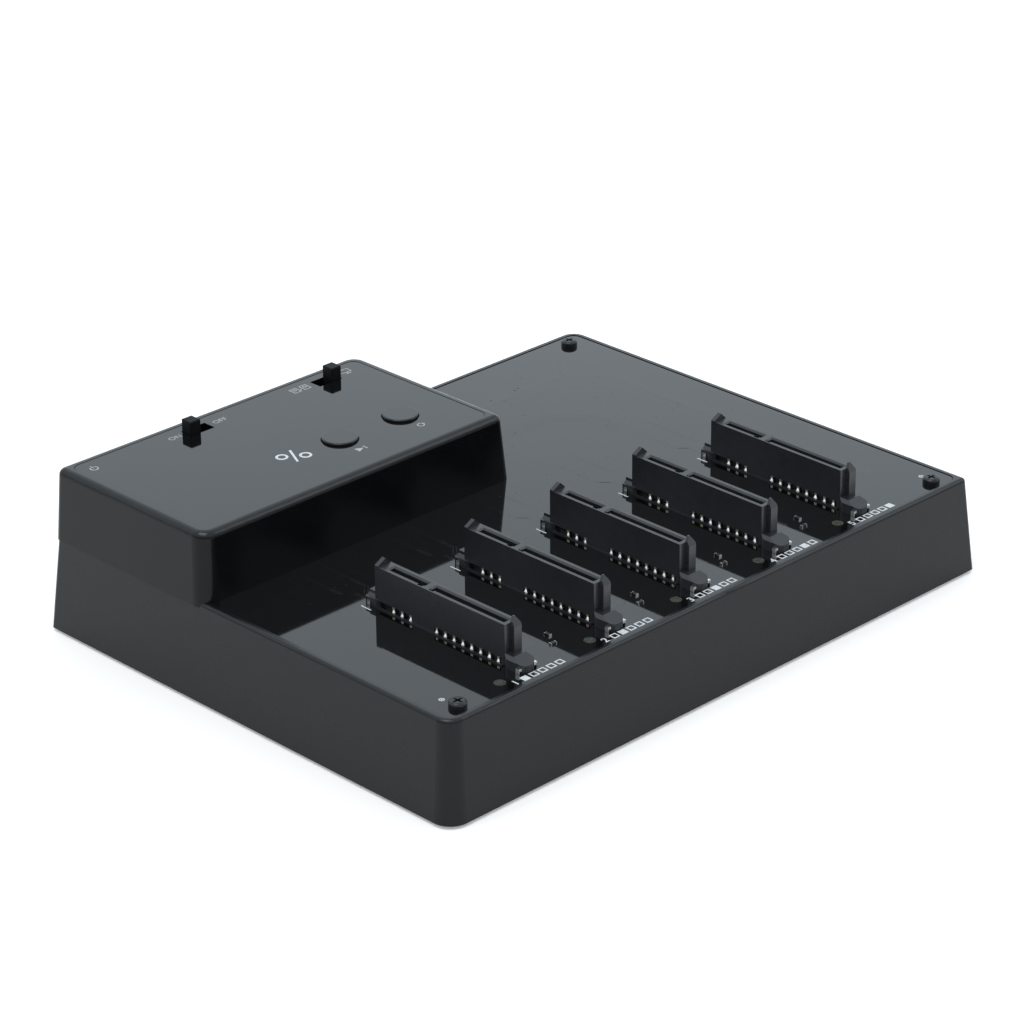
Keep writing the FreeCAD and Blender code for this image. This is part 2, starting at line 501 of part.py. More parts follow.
for sgn in (-1, 1):
    for px in (-1.25, 1.25):
        za_, zb2 = sorted((zc + sgn * 1.45, zc + sgn * 1.75))
        contacts.append(box(USB_X + px - 0.5, USB_X + px + 0.5, USB_Y1 - 9.4, USB_Y1 - 1.9, za_, zb2))
        pads.append(box(USB_X + px - 0.51, USB_X + px + 0.51, USB_Y1 - 9.5, USB_Y1 - 1.85, za_, zb2))
save("usb_port_insulator", cut(ins, pads))
save("usb_port_contacts", Part.makeCompound(contacts))

JY1 = 60.9
jz = Z_BOARD_B - 6.2
jh = box(JACK_X - JACK_W / 2, JACK_X + JACK_W / 2, JY1 - 14.2, JY1, z1 - JACK_H, z1)
jh = jh.makeFillet(0.4, edges_at(jh, lambda e: e.BoundBox.YLength > 5))
bore = Part.makeCylinder(3.15, 10.0, V(JACK_X, JY1 - 9.6, jz), V(0, 1, 0))
back_hole = Part.makeCylinder(1.25, 6.0, V(JACK_X, JY1 - 14.5, jz), V(0, 1, 0))
spring_slot = box(JACK_X - 0.8, JACK_X + 0.8, JY1 - 9.0, JY1 - 3.0, jz - 4.2, jz - 2.6)
jh = cut(jh, [bore, back_hole, spring_slot])
save("dc_jack_housing", jh)
pin = Part.makeCylinder(1.2, 4.6, V(JACK_X, JY1 - 14.2, jz), V(0, 1, 0)).fuse(
    Part.makeCylinder(1.0, 8.4, V(JACK_X, JY1 - 9.6, jz), V(0, 1, 0))).removeSplitter()
pin = pin.makeFillet(0.4, edges_at(pin, lambda e: e.BoundBox.YMin > JY1 - 1.3))
save("dc_jack_pin", pin)
save("dc_jack_spring", prism_x([(JY1 - 8.8, jz - 4.1), (JY1 - 3.2, jz - 4.1), (JY1 - 3.2, jz - 3.8),
                                (JY1 - 5.0, jz - 2.9), (JY1 - 6.0, jz - 2.9), (JY1 - 8.8, jz - 3.8)], JACK_X - 0.7, JACK_X + 0.7))

# ------------------------------------------------------------- electronics under the board
zt = Z_BOARD_B
chips = []
for xc in XCS:
    c = box(xc - 5.0, xc + 5.0, -4.0, 6.0, zt - 1.4, zt)
    chips.append(c.makeChamfer(0.3, edges_at(c, lambda e: e.BoundBox.ZMax < zt - 1.39)))
save("bridge_chips", Part.makeCompound(chips))
c = box(-22.0, -6.0, 22.0, 38.0, zt - 1.5, zt)
save("main_controller", c.makeChamfer(0.3, edges_at(c, lambda e: e.BoundBox.ZMax < zt - 1.49)))
c = plate(-2.0, 24.0, 9.0, 28.6, 2.2, zt - 3.5, zt)
save("crystal", c.makeFillet(0.5, edges_at(c, lambda e: e.BoundBox.ZMax < zt - 3.49)))
caps = []
for x, y in ((-66.0, 28.0), (-66.0, 16.0), (20.0, 30.0), (32.0, 30.0)):
    k = cyl(x, y, 4.0, zt - 10.0, zt)
    caps.append(k.makeFillet(0.5, edges_at(k, lambda e: e.BoundBox.ZMax < zt - 9.99)))
save("bulk_capacitors", Part.makeCompound(caps))
ind = []
for x, y in ((-50.0, 24.0), (-40.0, 24.0), (46.0, 30.0)):
    k = plate(x - 3.65, y - 3.65, x + 3.65, y + 3.65, 1.0, zt - 4.0, zt)
    ind.append(k.makeFillet(0.4, edges_at(k, lambda e: e.BoundBox.ZMax < zt - 3.99)))
save("power_inductors", Part.makeCompound(ind))
fets = []
for xc in XCS:
    k = box(xc + 8.0, xc + 14.6, -35.0, -29.0, zt - 2.3, zt)
    fets.append(k.makeChamfer(0.3, edges_at(k, lambda e: e.BoundBox.ZMax < zt - 2.29)))
save("power_transistors", Part.makeCompound(fets))
print("board z", Z_BOARD, "rim", Z_RIM, "top", Z_TOP, "knob", Z_TOP + KNOB_PROUD, "head in", Z_HEAD_IN)
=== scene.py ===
import bpy, bmesh, math, random
from mathutils import Vector, Matrix


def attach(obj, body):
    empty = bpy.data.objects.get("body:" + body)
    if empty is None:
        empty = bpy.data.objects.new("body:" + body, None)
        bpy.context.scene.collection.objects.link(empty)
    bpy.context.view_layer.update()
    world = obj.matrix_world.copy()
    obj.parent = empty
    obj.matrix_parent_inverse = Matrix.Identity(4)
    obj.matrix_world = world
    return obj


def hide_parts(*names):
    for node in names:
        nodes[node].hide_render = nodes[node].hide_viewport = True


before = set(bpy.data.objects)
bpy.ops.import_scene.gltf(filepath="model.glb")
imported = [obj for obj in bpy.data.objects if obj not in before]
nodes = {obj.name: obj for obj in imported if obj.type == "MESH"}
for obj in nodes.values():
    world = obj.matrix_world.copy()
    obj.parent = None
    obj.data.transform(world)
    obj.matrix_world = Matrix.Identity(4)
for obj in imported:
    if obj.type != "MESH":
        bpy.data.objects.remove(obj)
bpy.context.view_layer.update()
MM = 0.001
random.seed(7)

# ------------------------------------------------------------------ places (mm)
FOOT_H = 0.8
Z_RIM = FOOT_H + 22.29
Z_BOARD = Z_RIM - 0.15
Z_TOP = Z_RIM + 15.22
Z_FILM = Z_TOP - 0.08
PITCH = 25.4
XCS = [-52.5 + PITCH * i for i in range(5)]
BOARD_SCREWS = [(-72.4, -56.2), (71.8, -56.2), (71.8, 55.0)]
BUTTONS = [(-25.9, 28.3), (-8.3, 28.1)]
SLIDES = [(-44.1, 54.1), (-6.5, 54.2)]

# ------------------------------------------------------------------ camera
cam_data = bpy.data.cameras.new("camera")
cam_data.sensor_width = 36.0
cam_data.sensor_fit = "HORIZONTAL"
cam_data.lens = 3637.85 / 1024.0 * 36.0
cam_data.clip_start = 0.05
cam_data.clip_end = 60.0
cam = bpy.data.objects.new("camera", cam_data)
bpy.context.scene.collection.objects.link(cam)
az, el, roll = math.radians(-44.5159), math.radians(25.4097), math.radians(-0.4805)
back = Vector((math.sin(az) * math.cos(el), -math.cos(az) * math.cos(el), math.sin(el)))
r0 = Vector((0, 0, 1)).cross(back).normalized()
u0 = back.cross(r0)
right = r0 * math.cos(roll) + u0 * math.sin(roll)
up = u0 * math.cos(roll) - r0 * math.sin(roll)
target = Vector((-6.0273, -4.1809, 24.0530 + FOOT_H)) * MM
loc = target + back * (781.27 * MM)
cam.matrix_world = Matrix((
    (right.x, up.x, back.x, loc.x),
    (right.y, up.y, back.y, loc.y),
    (right.z, up.z, back.z, loc.z),
    (0, 0, 0, 1)))
bpy.context.scene.camera = cam

# ------------------------------------------------------------------ studio
scene = bpy.context.scene
scene.view_settings.view_transform = "Standard"
scene.view_settings.look = "None"
world = bpy.data.worlds.new("studio")
world.use_nodes = True
scene.world = world
bg = world.node_tree.nodes["Background"]
bg.inputs["Strength"].default_value = 1.34
wnt = world.node_tree
w_co = wnt.nodes.new("ShaderNodeTexCoord")
w_xyz = wnt.nodes.new("ShaderNodeSeparateXYZ")
w_map = wnt.nodes.new("ShaderNodeMapRange")
w_map.inputs["From Min"].default_value = -1.0
w_map.inputs["From Max"].default_value = 1.0
wnt.links.new(w_co.outputs["Generated"], w_xyz.inputs["Vector"])
wnt.links.new(w_xyz.outputs["Z"], w_map.inputs["Value"])


def sky_ramp(stops):
    n = wnt.nodes.new("ShaderNodeValToRGB")
    cr = n.color_ramp
    for k, (z, v) in enumerate(stops):
        e = cr.elements[0] if k == 0 else cr.elements[len(cr.elements) - 1] if k == len(stops) - 1 else cr.elements.new((z + 1.0) / 2.0)
        e.color = (0.835 * v, 0.925 * v, 1.0 * v, 1.0)
    wnt.links.new(w_map.outputs["Result"], n.inputs["Fac"])
    return n.outputs["Color"]


# behind the object the sky stays light down to the horizon; in front of it there is a dim band
sky_far = sky_ramp([(-1.0, 0.80), (-0.10, 0.70), (0.05, 0.68), (0.20, 0.76), (0.31, 0.93), (0.385, 1.03), (0.44, 0.93), (0.52, 0.84), (0.75, 0.80), (1.0, 0.80)])
sky_near = sky_ramp([(-1.0, 0.80), (-0.16, 0.72), (-0.05, 0.40), (0.22, 0.36), (0.36, 0.70), (0.52, 0.84), (0.75, 0.80), (1.0, 0.80)])
w_dot = wnt.nodes.new("ShaderNodeVectorMath")
w_dot.operation = "DOT_PRODUCT"
w_dot.inputs[1].default_value = (-0.70, -0.71, 0.0)
w_side = wnt.nodes.new("ShaderNodeMapRange")
w_side.inputs["From Min"].default_value = -0.15
w_side.inputs["From Max"].default_value = 0.35
w_mix = wnt.nodes.new("ShaderNodeMixRGB")
wnt.links.new(w_co.outputs["Generated"], w_dot.inputs[0])
wnt.links.new(w_dot.outputs["Value"], w_side.inputs["Value"])
wnt.links.new(w_side.outputs["Result"], w_mix.inputs["Fac"])
wnt.links.new(sky_far, w_mix.inputs["Color1"])
wnt.links.new(sky_near, w_mix.inputs["Color2"])
wnt.links.new(w_mix.outputs["Color"], bg.inputs["Color"])


def area(name, place, aim, size, power, color=(1, 1, 1)):
    d = bpy.data.lights.new(name, "AREA")
    d.shape = "RECTANGLE"
    d.size, d.size_y = size
    d.energy = power
    d.color = color
    o = bpy.data.objects.new(name, d)
    scene.collection.objects.link(o)
    o.location = place
    o.rotation_euler = (Vector(aim) - Vector(place)).to_track_quat("-Z", "Y").to_euler()
    return o


area("key_softbox", (-0.55, -0.15, 1.25), (0, 0, 0), (0.9, 0.7), 5.0, (1.0, 0.97, 0.93))
area("fill_softbox", (0.9, -0.7, 0.8), (0, 0, 0.02), (0.6, 0.6), 1.0, (1.0, 0.98, 0.96))


# ------------------------------------------------------------------ material kit
class Mat:
    """A small builder for procedural materials in object space."""

    def __init__(self, name, **sockets):
        self.m = bpy.data.materials.new(name)
        self.m.use_nodes = True
        self.nt = self.m.node_tree
        self.bsdf = self.nt.nodes["Principled BSDF"]
        for k, v in sockets.items():
            self.bsdf.inputs[k.replace("_", " ")].default_value = v
        self.tc = self.nt.nodes.new("ShaderNodeTexCoord")
        self.bump_in = None

    def new(self, kind, **props):
        n = self.nt.nodes.new(kind)
        for k, v in props.items():
            setattr(n, k, v)
        return n

    def link(self, a, b):
        self.nt.links.new(a, b)

    def noise(self, scale, detail=3.0, rough=0.55, stretch=None):
        n = self.new("ShaderNodeTexNoise")
        n.inputs["Scale"].default_value = scale
        n.inputs["Detail"].default_value = detail
        n.inputs["Roughness"].default_value = rough
        if stretch:
            mp = self.new("ShaderNodeMapping")
            mp.inputs["Scale"].default_value = stretch
            self.link(self.tc.outputs["Object"], mp.inputs["Vector"])
            self.link(mp.outputs["Vector"], n.inputs["Vector"])
        else:
            self.link(self.tc.outputs["Object"], n.inputs["Vector"])
        return n.outputs["Fac"]

    def voronoi(self, scale, feature="F1"):
        n = self.new("ShaderNodeTexVoronoi", feature=feature)
        n.inputs["Scale"].default_value = scale
        self.link(self.tc.outputs["Object"], n.inputs["Vector"])
        return n.outputs["Distance"]

    def ramp(self, fac, stops):
        n = self.new("ShaderNodeValToRGB")
        cr = n.color_ramp
        while len(cr.elements) < len(stops):
            cr.elements.new(0.5)
        for e, (p, c) in zip(cr.elements, stops):
            e.position = p
            e.color = (*c, 1.0) if len(c) == 3 else c
        self.link(fac, n.inputs["Fac"])
        return n.outputs["Color"]

    def span(self, fac, lo, hi, a=0.3, b=0.7):
        n = self.new("ShaderNodeMapRange")
        n.inputs["From Min"].default_value = a
        n.inputs["From Max"].default_value = b
        n.inputs["To Min"].default_value = lo
        n.inputs["To Max"].default_value = hi
        self.link(fac, n.inputs["Value"])
        return n.outputs["Result"]

    def color(self, out):
        self.link(out, self.bsdf.inputs["Base Color"])
        return self

    def rough(self, out):
        self.link(out, self.bsdf.inputs["Roughness"])
        return self

    def bump(self, height, strength, distance):
        b = self.new("ShaderNodeBump")
        b.inputs["Strength"].default_value = strength
        b.inputs["Distance"].default_value = distance
        self.link(height, b.inputs["Height"])
        if self.bump_in is not None:
            self.link(self.bump_in, b.inputs["Normal"])
        self.bump_in = b.outputs["Normal"]
        self.link(self.bump_in, self.bsdf.inputs["Normal"])
        return self


def grey(v, warm=0.0):
    return (v * (1 + warm), v, v * (1 - warm))


def shell_plastic(name, base, r_lo, r_hi, grain=0.05, level=0.25):
    m = Mat(name, IOR=1.50, Specular_IOR_Level=level)
    n1 = m.noise(38.0, 4.0, 0.6)
    m.color(m.ramp(n1, [(0.3, tuple(c * 0.90 for c in base)), (0.7, tuple(c * 1.10 for c in base))]))
    m.rough(m.span(m.noise(160.0, 3.0), r_lo, r_hi))
    m.bump(m.voronoi(5200.0), grain, 0.00003)
    m.bump(m.noise(2600.0, 2.0, 0.6), grain * 1.6, 0.00004)
    m.bump(m.noise(22.0, 2.0, 0.4), 0.015, 0.0002)
    return m.m


M = {}
M["tray"] = shell_plastic("tray_plastic", (0.0040, 0.0041, 0.0047), 0.24, 0.34)
M["head"] = shell_plastic("head_plastic", (0.0034, 0.0035, 0.0042), 0.16, 0.23, 0.035, 0.20)

m = Mat("overlay_film", IOR=1.50)
m.color(m.ramp(m.noise(60.0), [(0.3, (0.0028, 0.0029, 0.0034)), (0.7, (0.0036, 0.0037, 0.0042))]))
m.rough(m.span(m.noise(90.0, 4.0, 0.6), 0.045, 0.085))
m.bump(m.noise(900.0, 2.0), 0.012, 0.00002)
m.bump(m.noise(28.0, 2.0, 0.4), 0.03, 0.0003)
M["overlay"] = m.m

m = Mat("solder_mask", IOR=1.53)
mott = m.noise(300.0, 4.0, 0.62)
m.color(m.ramp(mott, [(0.3, (0.0024, 0.0026, 0.0029)), (0.72, (0.0036, 0.0039, 0.0043))]))
m.rough(m.span(m.noise(130.0, 5.0, 0.65), 0.028, 0.060))
m.bump(m.noise(420.0, 3.0, 0.6), 0.015, 0.00003)
m.bump(m.noise(46.0, 2.0, 0.5), 0.022, 0.0002)
M["mask"] = m.m

m = Mat("mask_relief", IOR=1.53)
m.color(m.ramp(m.noise(500.0), [(0.3, (0.0052, 0.0058, 0.0062)), (0.7, (0.0070, 0.0077, 0.0082))]))
m.rough(m.span(m.noise(900.0), 0.045, 0.090))
m.bump(m.noise(420.0, 3.0, 0.6), 0.02, 0.00003)
M["relief"] = m.m

m = Mat("tented_via", IOR=1.5)
m.color(m.ramp(m.noise(900.0), [(0.3, (0.0030, 0.0032, 0.0035)), (0.7, (0.0060, 0.0062, 0.0068))]))
m.rough(m.span(m.noise(700.0), 0.18, 0.36))
m.bump(m.noise(2500.0), 0.1, 0.00003)
M["via"] = m.m

m = Mat("socket_nylon", IOR=1.50, Specular_IOR_Level=0.62)
m.color(m.ramp(m.noise(420.0, 4.0), [(0.3, (0.0140, 0.0147, 0.0174)), (0.7, (0.0176, 0.0184, 0.0214))]))
m.rough(m.span(m.noise(700.0, 3.0), 0.27, 0.35))
m.bump(m.noise(4200.0, 2.0, 0.5), 0.02, 0.00002)
m.bump(m.noise(350.0, 2.0), 0.02, 0.00004)
M["socket"] = m.m

m = Mat("gold_flash", Metallic=1.0)
m.color(m.ramp(m.noise(900.0, 2.0), [(0.35, (0.80, 0.62, 0.36)), (0.5, (0.90, 0.76, 0.50)), (0.68, (0.88, 0.84, 0.74))]))
m.rough(m.span(m.noise(1500.0), 0.16, 0.30))
m.bump(m.noise(3000.0), 0.05, 0.00002)
M["gold"] = m.m

m = Mat("tin_plate", Metallic=1.0)
m.color(m.ramp(m.noise(800.0, 3.0), [(0.3, (0.74, 0.73, 0.69)), (0.7, (0.90, 0.90, 0.87))]))
m.rough(m.span(m.noise(1200.0), 0.20, 0.38))
m.bump(m.noise(2200.0), 0.08, 0.00003)
M["tin"] = m.m

m = Mat("solder", Metallic=1.0)
m.color(m.ramp(m.noise(700.0, 3.0), [(0.3, (0.66, 0.66, 0.65)), (0.7, (0.86, 0.87, 0.87))]))
m.rough(m.span(m.noise(1300.0), 0.16, 0.34))
m.bump(m.noise(1800.0), 0.10, 0.00004)
M["solder"] = m.m

m = Mat("black_oxide", Metallic=0.55, IOR=1.6)
m.color(m.ramp(m.noise(1100.0, 3.0), [(0.3, (0.012, 0.012, 0.013)), (0.7, (0.030, 0.030, 0.032))]))
m.rough(m.span(m.noise(900.0), 0.20, 0.34))
m.bump(m.noise(3500.0), 0.06, 0.00002)
M["screw"] = m.m

m = Mat("led_resin", IOR=1.5, Specular_IOR_Level=0.30, Subsurface_Weight=0.2, Subsurface_Scale=0.0012)
m.color(m.ramp(m.noise(700.0, 2.0), [(0.3, (0.040, 0.044, 0.034)), (0.7, (0.062, 0.067, 0.054))]))
m.rough(m.span(m.noise(900.0), 0.22, 0.34))
m.bump(m.noise(1500.0), 0.04, 0.00003)
M["led"] = m.m

m = Mat("print_white", IOR=1.45)
m.color(m.ramp(m.noise(2600.0, 3.0), [(0.28, (0.48, 0.50, 0.51)), (0.62, (0.68, 0.70, 0.71))]))
m.rough(m.span(m.noise(1500.0), 0.40, 0.60))
m.bump(m.noise(6000.0, 2.0), 0.12, 0.00002)
M["print"] = m.m

m = Mat("print_grey", IOR=1.45)
m.color(m.ramp(m.noise(2600.0, 3.0), [(0.28, (0.30, 0.315, 0.33)), (0.62, (0.42, 0.435, 0.45))]))
m.rough(m.span(m.noise(1500.0), 0.40, 0.60))
m.bump(m.noise(6000.0, 2.0), 0.12, 0.00002)
M["print_soft"] = m.m

m = Mat("button_plastic", IOR=1.50)
m.color(m.ramp(m.noise(300.0, 3.0), [(0.3, (0.0030, 0.0030, 0.0034)), (0.7, (0.0046, 0.0046, 0.0050))]))
m.rough(m.span(m.noise(900.0), 0.13, 0.20))
m.bump(m.voronoi(7000.0), 0.03, 0.00002)
M["button"] = m.m

m = Mat("knob_acetal", IOR=1.48, Specular_IOR_Level=0.12)
m.color(m.ramp(m.noise(500.0, 3.0), [(0.3, (0.0036, 0.0036, 0.0037)), (0.7, (0.0058, 0.0057, 0.0056))]))
m.rough(m.span(m.noise(900.0), 0.42, 0.54))
m.bump(m.noise(3800.0, 2.0), 0.08, 0.00003)
M["knob"] = m.m

m = Mat("foot_rubber", IOR=1.5)
m.color(m.ramp(m.noise(500.0, 5.0), [(0.3, (0.014, 0.014, 0.014)), (0.7, (0.026, 0.026, 0.027))]))
m.rough(m.span(m.noise(700.0), 0.66, 0.86))
m.bump(m.noise(2600.0, 4.0, 0.7), 0.35, 0.00006)
M["rubber"] = m.m

m = Mat("nickel_steel", Metallic=1.0)
m.color(m.ramp(m.noise(500.0, 3.0, 0.6, (1, 0.08, 1)), [(0.3, (0.55, 0.55, 0.55)), (0.7, (0.70, 0.70, 0.69))]))
m.rough(m.span(m.noise(900.0, 2.0, 0.5, (1, 0.05, 1)), 0.22, 0.40))
m.bump(m.noise(2400.0, 2.0, 0.5, (1, 0.05, 1)), 0.06, 0.00002)
M["steel"] = m.m

m = Mat("port_plastic", IOR=1.5)
m.color(m.ramp(m.noise(600.0, 3.0), [(0.3, (0.010, 0.010, 0.011)), (0.7, (0.017, 0.017, 0.018))]))
m.rough(m.span(m.noise(800.0), 0.34, 0.48))
m.bump(m.noise(4000.0), 0.10, 0.00003)
M["port"] = m.m

m = Mat("chip_epoxy", IOR=1.5)
m.color(m.ramp(m.noise(1500.0, 4.0, 0.7), [(0.3, (0.018, 0.018, 0.019)), (0.7, (0.036, 0.036, 0.038))]))
m.rough(m.span(m.noise(1200.0), 0.50, 0.70))
m.bump(m.noise(5000.0, 3.0, 0.7), 0.25, 0.00003)
M["chip"] = m.m

m = Mat("chip_ceramic", IOR=1.5)
m.color(m.ramp(m.noise(1500.0, 4.0, 0.7), [(0.3, (0.012, 0.012, 0.012)), (0.7, (0.022, 0.022, 0.022))]))
m.rough(m.span(m.noise(1200.0), 0.25, 0.40))
m.bump(m.noise(5000.0), 0.1, 0.00002)
M["ceramic"] = m.m

m = Mat("capacitor_can", Metallic=1.0)
m.color(m.ramp(m.noise(300.0, 3.0, 0.6, (1, 1, 0.1)), [(0.3, (0.60, 0.60, 0.61)), (0.7, (0.74, 0.74, 0.75))]))
m.rough(m.span(m.noise(600.0), 0.24, 0.40))
m.bump(m.noise(1800.0), 0.06, 0.00003)
M["can"] = m.m

NODE_MAT = {
    "base_shell": "tray", "bottom_cover": "tray", "control_cover": "head", "cover_label": "overlay",
    "rubber_feet": "rubber", "bottom_screws": "screw", "board_screws": "screw", "cover_screws": "screw",
    "control_board_screws": "screw", "main_board": "mask", "control_board": "mask", "sata_hold_downs": "tin",
    "bay_resistors": "ceramic", "power_switch_body": "steel", "mode_switch_body": "steel",
    "power_switch_knob": "knob", "mode_switch_knob": "knob", "start_button_cap": "button",
    "mode_button_cap": "button", "start_tact_body": "port", "mode_tact_body": "port",
    "start_tact_plunger": "port", "mode_tact_plunger": "port", "start_tact_dome": "steel",
    "mode_tact_dome": "steel", "power_led": "led", "progress_display": "ceramic", "usb_port_shell": "steel",
    "usb_port_insulator": "port", "usb_port_contacts": "gold", "dc_jack_housing": "port",
    "dc_jack_pin": "steel", "dc_jack_spring": "steel", "board_header": "port", "board_header_pins": "gold",
    "board_socket": "port", "bridge_chips": "chip", "main_controller": "chip", "crystal": "can",
    "bulk_capacitors": "can", "power_inductors": "chip", "power_transistors": "chip",
}
for i in range(1, 6):
    NODE_MAT["sata_housing_%d" % i] = "socket"
    NODE_MAT["sata_contacts_%d" % i] = "gold"
    NODE_MAT["bay_led_%d" % i] = "led"
for n, o in nodes.items():
    mat = M[NODE_MAT[n]]
    if not o.material_slots:
        o.data.materials.append(mat)
    for s in o.material_slots:
        s.material = mat


def paint_edge_highlight(node, name, base, rough, grain, z_from, bands):
    """Painted highlight: upward faces along the top edge get more reflective copies of the plastic than the walls,
    picked by face direction to match their look.
    """
    o = nodes[node]
    first = len(o.data.materials)
    for k, (_, level) in enumerate(bands):
        o.data.materials.append(shell_plastic("%s_edge_%d" % (name, k + 1), base, rough[0], rough[1], grain, level))
    mw = o.matrix_world
    turn = mw.to_3x3()
    for f in o.data.polygons:
        if (mw @ f.center).z < z_from * MM:
            continue
        nz = (turn @ f.normal).normalized().z
        for k, (limit, _) in enumerate(bands):
            if nz > limit:
                f.material_index = first + k
                break


bpy.context.view_layer.update()
# painted highlight on the top edges of the head and the tray: upward faces get more reflective copies of the plastic
EDGE_BANDS = [(0.90, 0.50), (0.72, 0.45), (0.50, 0.37), (0.28, 0.30)]
paint_edge_highlight("control_cover", "head", (0.0034, 0.0035, 0.0042), (0.14, 0.20), 0.03, Z_TOP - 1.9, EDGE_BANDS)
paint_edge_highlight("base_shell", "tray", (0.0040, 0.0041, 0.0047), (0.20, 0.28), 0.04, Z_RIM - 1.1, EDGE_BANDS)


# ------------------------------------------------------------------ mesh kit
def make(name, bm, mat, body="dock", smooth=False):
    bmesh.ops.recalc_face_normals(bm, faces=bm.faces)
    me = bpy.data.meshes.new(name)
    bm.to_mesh(me)
    bm.free()
    me.materials.append(M[mat])
    if smooth:
        me.shade_smooth()
        me.set_sharp_from_angle(angle=math.radians(32))
    o = bpy.data.objects.new(name, me)
    scene.collection.objects.link(o)
    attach(o, body)
    return o


def slab(bm, pts, z0, z1, bevel=0.0):
    """Closed outline (mm) pushed from z0 to z1, its top edge drawn in by bevel."""
    n = len(pts)
    lo = [bm.verts.new((x * MM, y * MM, z0 * MM)) for x, y in pts]
    if bevel > 0:
        cx = sum(p[0] for p in pts) / n
        cy = sum(p[1] for p in pts) / n
        top = []
        for i, (x, y) in enumerate(pts):
            x0, y0 = pts[i - 1]
            x1, y1 = pts[(i + 1) % n]
            d0 = Vector((x - x0, y - y0)).normalized()
            d1 = Vector((x1 - x, y1 - y)).normalized()
            nrm = Vector((-(d0.y + d1.y), d0.x + d1.x))
            if nrm.length < 1e-9:
                nrm = Vector((cx - x, cy - y))
            nrm.normalize()
            k = max(0.35, abs(nrm.dot(Vector((-d0.y, d0.x)))))
            top.append((x + nrm.x * bevel / k, y + nrm.y * bevel / k))
    else:
        top = pts
    hi = [bm.verts.new((x * MM, y * MM, z1 * MM)) for x, y in top]
    for i in range(n):
        j = (i + 1) % n
        bm.faces.new((lo[i], lo[j], hi[j], hi[i]))
    bm.faces.new(hi)
    bm.faces.new(lo[::-1])


def ring(bm, cx, cy, r0, r1, z0, z1, a0=0.0, a1=360.0, seg=28):
    """Flat ring or arc of radii r0..r1."""
    full = abs(a1 - a0) >= 359.9
    n = max(3, int(seg * abs(a1 - a0) / 360.0))
    cols = []
    for i in range(n if full else n + 1):
        a = math.radians(a0 + (a1 - a0) * i / n)
        c, s = math.cos(a), math.sin(a)
        cols.append([bm.verts.new(((cx + r * c) * MM, (cy + r * s) * MM, z * MM))
                     for r, z in ((r0, z0), (r1, z0), (r1, z1), (r0, z1))])
    m_ = len(cols)
    for i in range(m_ if full else m_ - 1):
        a, b = cols[i], cols[(i + 1) % m_]
        for k in range(4):
            l = (k + 1) % 4
            bm.faces.new((a[k], a[l], b[l], b[k]))
    if not full:
        bm.faces.new(cols[0])
        bm.faces.new(cols[-1][::-1])


def disc(bm, cx, cy, r, z0, z1, seg=20, bevel=0.0):
    slab(bm, [(cx + r * math.cos(2 * math.pi * i / seg), cy + r * math.sin(2 * math.pi * i / seg)) for i in range(seg)], z0, z1, bevel)


def bar(bm, x0, y0, x1, y1, w, z0, z1, bevel=0.0):
    """Straight stroke of width w between two points."""
    d = Vector((x1 - x0, y1 - y0))
    if d.length < 1e-9:
        return
    n = Vector((-d.y, d.x)).normalized() * (w / 2)
    slab(bm, [(x0 + n.x, y0 + n.y), (x0 - n.x, y0 - n.y), (x1 - n.x, y1 - n.y), (x1 + n.x, y1 + n.y)], z0, z1, bevel)


def path_strip(bm, pts, w, z0, z1, bevel=0.0):
    """Mitred stroke along a polyline."""
    L, R = [], []
    n = len(pts)
    for i in range(n):
        p = Vector(pts[i])
        d0 = (p - Vector(pts[i - 1])).normalized() if i > 0 else None
        d1 = (Vector(pts[i + 1]) - p).normalized() if i < n - 1 else None
        d0 = d0 or d1
        d1 = d1 or d0
        nrm = Vector((-(d0.y + d1.y), d0.x + d1.x)).normalized()
        k = max(0.4, nrm.dot(Vector((-d0.y, d0.x))))
        L.append(p + nrm * (w / 2 / k))
        R.append(p - nrm * (w / 2 / k))
    for i in range(n - 1):
        slab(bm, [tuple(R[i]), tuple(R[i + 1]), tuple(L[i + 1]), tuple(L[i])], z0, z1, bevel)


def rect(x0, y0, x1, y1):
    return [(x0, y0), (x1, y0), (x1, y1), (x0, y1)]


def frame_rect(bm, x0, y0, x1, y1, w, z0, z1):
    for a in (rect(x0, y0, x1, y0 + w), rect(x0, y1 - w, x1, y1), rect(x0, y0 + w, x0 + w, y1 - w), rect(x1 - w, y0 + w, x1, y1 - w)):
        slab(bm, a, z0, z1)


def glyphs(bm, text, x, y, h, z0, z1, align="LEFT", bold=0.0):
    """Plain numerals or ON / OFF, cap height h, baseline at y."""
    c = bpy.data.curves.new("tmp_text", "FONT")
    c.body = text
    c.size = 1.0
    c.extrude = 0.0
    c.offset = bold
    c.resolution_u = 6
    c.align_x = align
    t = bpy.data.objects.new("tmp_text", c)
    scene.collection.objects.link(t)
    bpy.context.view_layer.update()
    me = bpy.data.meshes.new_from_object(t.evaluated_get(bpy.context.evaluated_depsgraph_get()))
    bpy.data.objects.remove(t)
    bpy.data.curves.remove(c)
    ys = [v.co.y for v in me.vertices]
    k = h / (max(ys) - min(ys))
    y_min = min(ys)
    b2 = bmesh.new()
    b2.from_mesh(me)
    bpy.data.meshes.remove(me)
    bmesh.ops.remove_doubles(b2, verts=b2.verts, dist=1e-5)
    for v in b2.verts:
        v.co = Vector(((x + v.co.x * k) * MM, (y + (v.co.y - y_min) * k) * MM, z0 * MM))
    geom = bmesh.ops.extrude_face_region(b2, geom=list(b2.faces))
    for v in [g for g in geom["geom"] if isinstance(g, bmesh.types.BMVert)]:
        v.co.z = z1 * MM
    tmp = bpy.data.meshes.new("tmp_mesh")
    b2.to_mesh(tmp)
    b2.free()
    bm.from_mesh(tmp)
    bpy.data.meshes.remove(tmp)


INK = 0.014
zb0, zb1 = Z_BOARD - 0.002, Z_BOARD + INK
zt0, zt1 = Z_FILM - 0.002, Z_FILM + INK

